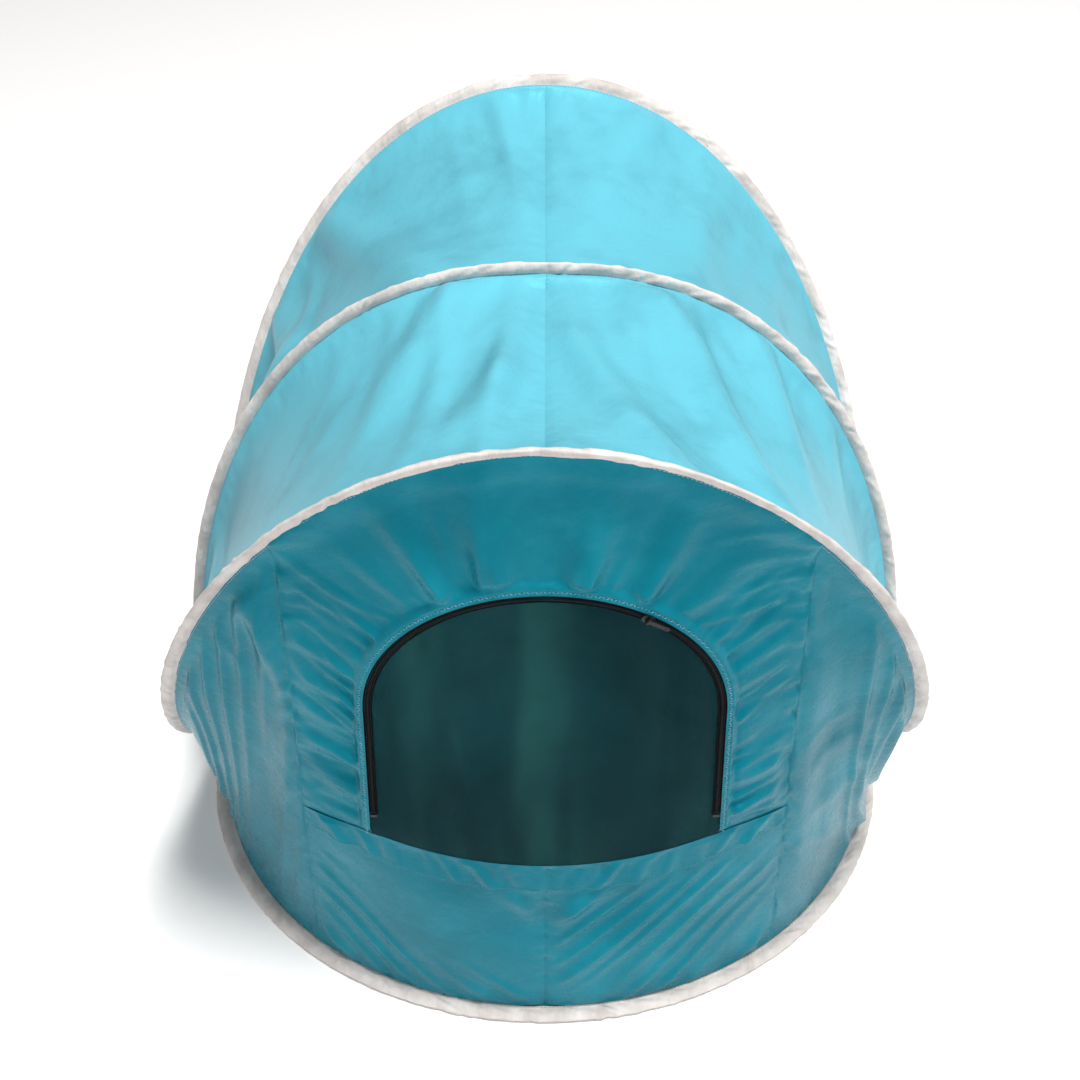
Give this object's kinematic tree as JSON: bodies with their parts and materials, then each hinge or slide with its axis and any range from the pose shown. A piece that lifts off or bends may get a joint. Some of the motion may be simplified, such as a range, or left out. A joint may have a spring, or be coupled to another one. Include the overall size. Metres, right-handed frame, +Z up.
{
  "type": "pop-up agility tunnel pod",
  "caption": "Pop-up fabric tunnel pod for dogs: spring-steel arches in ruched binding over a base ring, light-blue skin, and zipped mesh doors that fold down outward.",
  "frame": {"origin": "centre of the base ring at floor level", "axes": "+X to the right along the width, +Y from the front door to the rear door, +Z up"},
  "size_m": [1.028, 0.8978, 0.9232],
  "materials": {
    "binding": "ruched off-white binding tape, matt",
    "roof_cloth": "thin light-blue taffeta, soft sheen",
    "wall_cloth": "thin teal-blue taffeta, soft sheen",
    "floor_cloth": "coated blue taffeta",
    "mesh": "dark open mesh",
    "zip_tape": "woven dark tape",
    "zip_chain": "dark nylon coil",
    "zip_metal": "dark enamelled die-cast metal",
    "spring_steel": "flat spring strip",
    "ferrule": "crimped steel sleeve"
  },
  "bodies": {
    "shell": {"base_sleeve_front": "binding", "base_sleeve_rear": "binding", "front_arch_sleeve": "binding", "rear_arch_sleeve": "binding", "middle_arch_sleeve": "binding", "arch_pocket_left": "binding", "arch_pocket_right": "binding", "base_strip": "spring_steel", "front_arch_strip": "spring_steel", "rear_arch_strip": "spring_steel", "middle_arch_strip": "spring_steel", "base_ferrule": "ferrule", "shell_ferrule_left": "ferrule", "shell_ferrule_right": "ferrule", "floor_sheet": "floor_cloth", "front_roof_left": "roof_cloth", "front_gusset_left": "wall_cloth", "front_roof_right": "roof_cloth", "front_gusset_right": "wall_cloth", "front_crown": "wall_cloth", "front_sill": "wall_cloth", "front_sill_band": "wall_cloth", "front_door_apron": "mesh", "front_zip_tape_fixed": "zip_tape", "front_zip_stops": "zip_metal", "rear_roof_left": "roof_cloth", "rear_gusset_left": "wall_cloth", "rear_roof_right": "roof_cloth", "rear_gusset_right": "wall_cloth", "rear_crown": "wall_cloth", "rear_sill": "wall_cloth", "rear_sill_band": "wall_cloth", "rear_door_apron": "mesh", "rear_zip_tape_fixed": "zip_tape", "rear_zip_stops": "zip_metal"},
    "front_door": {"front_door_mesh": "mesh", "front_zip_tape_door": "zip_tape", "front_zip_chain": "zip_chain"},
    "front_slider": {"front_zip_slider": "zip_metal"},
    "front_pull": {"front_zip_pull": "zip_metal"},
    "rear_door": {"rear_door_mesh": "mesh", "rear_zip_tape_door": "zip_tape", "rear_zip_chain": "zip_chain"},
    "rear_slider": {"rear_zip_slider": "zip_metal"},
    "rear_pull": {"rear_zip_pull": "zip_metal"}
  },
  "joints": [
    {"name": "front_door_fold", "type": "hinge", "parent": "shell", "child": "front_door", "pos_m": [0, -0.41606, 0.366], "axis": [1, 0, 0], "range_deg": [0, 160]},
    {"name": "front_slider_run", "type": "hinge", "parent": "front_door", "child": "front_slider", "pos_m": [-0.00062, -0.39156, 0.53701], "axis": [-0.0196, 0.9968, 0.0777], "range_deg": [-22.4, 40]},
    {"name": "front_pull_swing", "type": "hinge", "parent": "front_slider", "child": "front_pull", "pos_m": [0.10396, -0.40658, 0.69961], "axis": [-0.5373, 0, -0.8434], "range_deg": [0, 150]},
    {"name": "rear_door_fold", "type": "hinge", "parent": "shell", "child": "rear_door", "pos_m": [0, 0.41606, 0.366], "axis": [-1, 0, 0], "range_deg": [0, 160]},
    {"name": "rear_slider_run", "type": "hinge", "parent": "rear_door", "child": "rear_slider", "pos_m": [-0.00062, 0.39156, 0.53701], "axis": [0.0196, 0.9968, -0.0777], "range_deg": [-22.4, 40]},
    {"name": "rear_pull_swing", "type": "hinge", "parent": "rear_slider", "child": "rear_pull", "pos_m": [0.10396, 0.40658, 0.69961], "axis": [0.5373, 0, 0.8434], "range_deg": [0, 150]}
  ]
}
